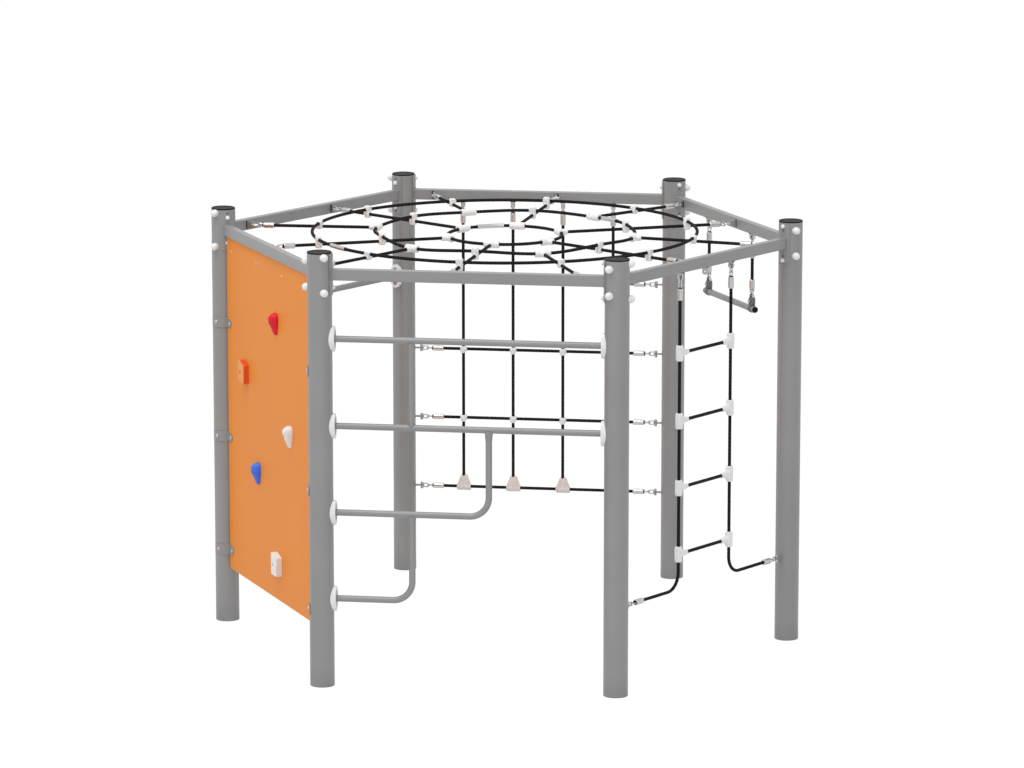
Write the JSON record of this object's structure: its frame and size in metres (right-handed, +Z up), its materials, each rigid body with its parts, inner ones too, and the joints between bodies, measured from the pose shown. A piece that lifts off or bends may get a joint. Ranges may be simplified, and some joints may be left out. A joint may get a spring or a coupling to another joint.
{
  "type": "spiderweb climbing net",
  "caption": "Hexagonal steel climbing frame with a flat rope spiderweb on top, and a climbing panel, stepped bars, rope ladder, trapeze, rope net and pull-up bar round its sides.",
  "frame": {"origin": "on the ground at the middle of the hexagon of posts", "axes": "+X through post 4 and +Y through the middle of the rope net's side; the stepped bars face -Y; +Z up"},
  "size_m": [3.175, 2.8044, 2.266],
  "materials": {
    "painted_steel": "grey, satin powder coat",
    "bright_steel": "bright zinc",
    "black_plastic": "black, fine matt",
    "white_plastic": "white, satin",
    "orange_panel": "orange sheet, satin",
    "hold_red": "red moulded resin",
    "hold_coral": "orange-red moulded resin",
    "hold_blue": "blue moulded resin",
    "black_rope": "black six-strand braided rope"
  },
  "bodies": {
    "frame": {"post_1": "painted_steel", "post_2": "painted_steel", "post_3": "painted_steel", "post_4": "painted_steel", "post_5": "painted_steel", "post_6": "painted_steel", "post_cap_1": "black_plastic", "post_cap_2": "black_plastic", "post_cap_3": "black_plastic", "post_cap_4": "black_plastic", "post_cap_5": "black_plastic", "post_cap_6": "black_plastic", "beam_1": "painted_steel", "beam_2": "painted_steel", "beam_3": "painted_steel", "beam_4": "painted_steel", "beam_5": "painted_steel", "beam_6": "painted_steel", "climbing_panel": "orange_panel", "panel_bracket_1": "painted_steel", "panel_bracket_2": "painted_steel", "panel_bracket_3": "painted_steel", "panel_bracket_4": "painted_steel", "panel_bracket_5": "painted_steel", "panel_bracket_6": "painted_steel", "hold_red_drop": "hold_red", "hold_coral_block": "hold_coral", "hold_white_drop": "white_plastic", "hold_blue_drop": "hold_blue", "hold_white_block": "white_plastic", "step_bar_1": "painted_steel", "step_bar_2": "painted_steel", "short_upright": "painted_steel", "bent_bar_1": "painted_steel", "bent_bar_2": "painted_steel", "bar_flange_1": "white_plastic", "bar_flange_2": "white_plastic", "bar_flange_3": "white_plastic", "bar_flange_4": "white_plastic", "bar_flange_5": "white_plastic", "bar_flange_6": "white_plastic", "pull_up_bar": "painted_steel", "pull_up_flange_1": "white_plastic", "pull_up_flange_2": "white_plastic", "ladder_rope_left": "black_rope", "ladder_rope_right": "black_rope", "ladder_rung_1": "black_plastic", "ladder_rung_2": "black_plastic", "ladder_rung_3": "black_plastic", "ladder_rung_4": "black_plastic", "rope_net": "black_rope", "web_outer_ring": "black_rope", "web_middle_ring": "black_rope", "web_inner_ring": "black_rope"},
    "trapeze_ropes": {"trapeze_rope_left": "black_rope", "trapeze_rope_right": "black_rope"},
    "trapeze_bar": {"trapeze_bar": "painted_steel", "trapeze_cap_left": "black_plastic", "trapeze_cap_right": "black_plastic"}
  },
  "joints": [
    {"name": "trapeze_swing", "type": "hinge", "parent": "frame", "child": "trapeze_ropes", "pos_m": [1.14375, 0.66034, 2.106], "axis": [-0.5, 0.866, 0], "range_deg": [-60, 60]},
    {"name": "trapeze_bar_tilt", "type": "hinge", "parent": "trapeze_ropes", "child": "trapeze_bar", "pos_m": [1.14375, 0.66034, 1.785], "axis": [-0.5, 0.866, 0], "range_deg": [-40, 40]}
  ]
}
